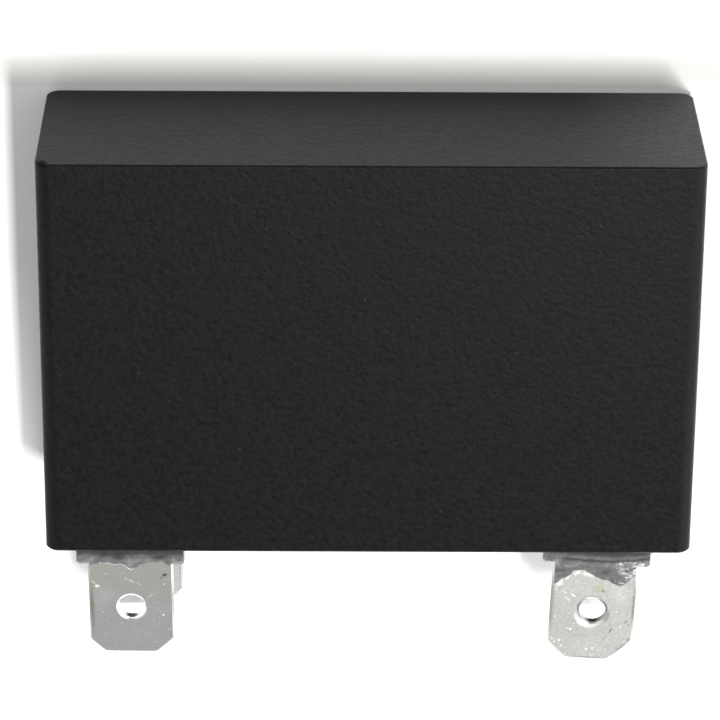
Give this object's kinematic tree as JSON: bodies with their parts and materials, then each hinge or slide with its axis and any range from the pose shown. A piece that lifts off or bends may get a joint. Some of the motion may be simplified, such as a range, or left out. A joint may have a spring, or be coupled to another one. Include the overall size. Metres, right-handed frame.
{
  "type": "motor run capacitor",
  "caption": "Box-type motor run capacitor: dark moulded case potted with resin, double push-on tabs on U-shaped terminals at the open end.",
  "frame": {"origin": "middle of the case's large back face, which the capacitor lies on", "axes": "+Z through the thickness to the front face, +Y to the closed end of the case, tabs towards -Y, +X along the case's width"},
  "size_m": [0.047, 0.0409, 0.0144],
  "materials": {
    "case": "fine spark-eroded texture",
    "resin": "cast, glossy, wavy where it wets the strips",
    "film": "rolled metallised film, fine edge lines",
    "wrap": "plain clear film in several turns",
    "spray_metal": "thermally sprayed, grainy",
    "wire": "tinned",
    "solder": "smooth, bright",
    "terminal": "tinned strip, scratched"
  },
  "bodies": {
    "root": {"case": "case", "potting_resin": "resin", "film_winding": "film", "outer_wrap": "wrap", "end_spray_left": "spray_metal", "end_spray_right": "spray_metal", "lead_wire_left": "wire", "lead_wire_right": "wire", "spray_solder_left": "solder", "spray_solder_right": "solder", "web_solder_left": "solder", "web_solder_right": "solder", "terminal_left": "terminal", "terminal_right": "terminal"}
  },
  "joints": []
}
